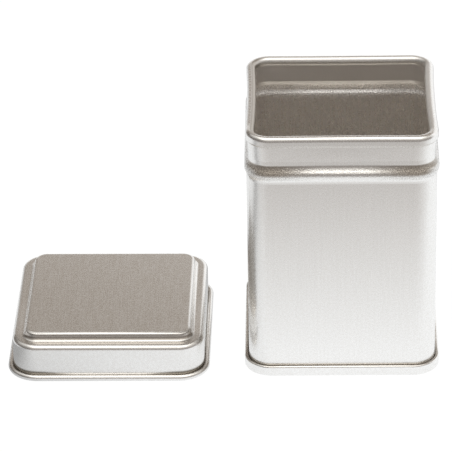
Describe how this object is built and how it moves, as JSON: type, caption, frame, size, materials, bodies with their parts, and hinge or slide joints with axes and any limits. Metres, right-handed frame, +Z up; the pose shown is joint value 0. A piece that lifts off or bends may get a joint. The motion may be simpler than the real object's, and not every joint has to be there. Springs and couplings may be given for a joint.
{
  "type": "spice tin",
  "caption": "Square tinplate spice tin with a curled mouth, a beaded neck, a double-seamed base and a stepped slip lid lying beside it.",
  "frame": {"origin": "centre of the tin's footprint, on the surface it stands on", "axes": "+Z up out of the mouth; the open tin stands on the origin and its lid lies face up on the -X side; +Y to the back"},
  "size_m": [0.1393, 0.066, 0.0852],
  "materials": {
    "body_tinplate": "satin tinplate with a fine grain",
    "base_tinplate": "satin tinplate with a fine grain",
    "lid_tinplate": "satin tinplate with a fine grain"
  },
  "bodies": {
    "tin": {"body_wall": "body_tinplate", "base": "base_tinplate"},
    "lid": {"lid": "lid_tinplate"}
  },
  "joints": [
    {"name": "lid_lift", "type": "slide", "parent": "tin", "child": "lid", "axis": [0, 0, 1], "range_m": [0, 0.12]}
  ]
}
